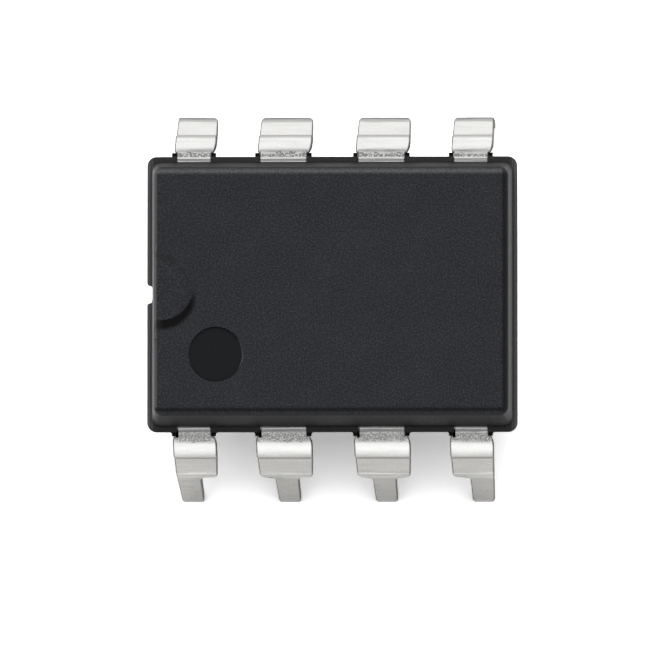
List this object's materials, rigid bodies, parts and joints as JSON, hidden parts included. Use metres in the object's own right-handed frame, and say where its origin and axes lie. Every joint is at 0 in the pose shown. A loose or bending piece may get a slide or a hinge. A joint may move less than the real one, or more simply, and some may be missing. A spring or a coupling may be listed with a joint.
{
  "type": "dual in-line chip",
  "caption": "Black moulded dual in-line chip with splayed tinned leads, an end notch, a raised half-moon mark and a round dimple beside the first lead.",
  "frame": {"origin": "on the plane that the lead tips stand on, under the middle of the body", "axes": "+Z towards the marked face, +X from the marked end to the plain end, +Y towards the rear row of leads; lead 1 is at -X -Y"},
  "size_m": [0.0096, 0.01, 0.0072],
  "materials": {
    "moulding_compound": "satin",
    "tinned_leads": "satin",
    "attach": "satin",
    "silicon": "gloss",
    "gold_wire": "polished"
  },
  "bodies": {
    "root": {"moulded_body": "moulding_compound", "lead_1": "tinned_leads", "lead_2": "tinned_leads", "lead_3": "tinned_leads", "lead_4_and_paddle": "tinned_leads", "lead_5": "tinned_leads", "lead_6": "tinned_leads", "lead_7": "tinned_leads", "lead_8": "tinned_leads", "die_attach": "attach", "silicon_die": "silicon", "bond_wire_1": "gold_wire", "bond_wire_2": "gold_wire", "bond_wire_3": "gold_wire", "bond_wire_4": "gold_wire", "bond_wire_5": "gold_wire", "bond_wire_6": "gold_wire", "bond_wire_7": "gold_wire", "bond_wire_8": "gold_wire"}
  },
  "joints": []
}
